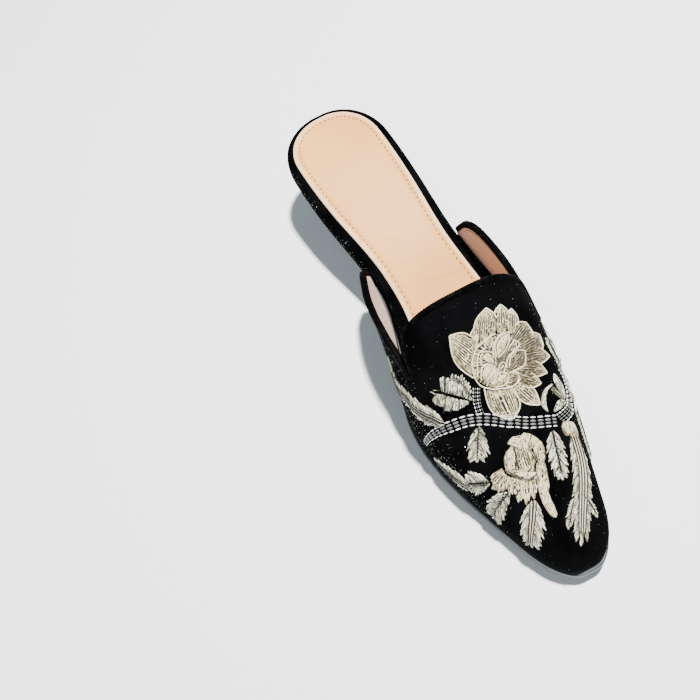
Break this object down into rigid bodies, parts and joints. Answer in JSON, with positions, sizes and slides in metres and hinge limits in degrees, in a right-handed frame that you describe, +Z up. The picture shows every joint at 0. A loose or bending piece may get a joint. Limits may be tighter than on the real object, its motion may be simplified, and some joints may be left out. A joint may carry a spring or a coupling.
{
  "type": "kitten heel mule",
  "caption": "Backless women's mule with a closed square-almond toe, a velvet upper rising to a rounded tongue, side walls, a padded sock and a small block heel.",
  "frame": {"origin": "on the floor, under the middle of the shoe's bounding box", "axes": "+Y from heel to toe, +X towards the wearer's big-toe side, +Z up"},
  "size_m": [0.0752, 0.252, 0.0695],
  "materials": {
    "black_velvet": "short-pile velvet with fine silver glitter, floral embroidery in champagne thread",
    "black_binding": "gathered black binding tape",
    "pink_sock_leather": "smooth beige-pink leather with a stitched edge",
    "charcoal_sole": "satin charcoal rubber",
    "black_heel_lacquer": "glossy black"
  },
  "bodies": {
    "root": {"outsole": "charcoal_sole", "footbed": "black_velvet", "sock": "pink_sock_leather", "upper": "black_velvet", "topline_binding": "black_binding", "heel": "black_heel_lacquer", "top_piece": "charcoal_sole"}
  },
  "joints": []
}
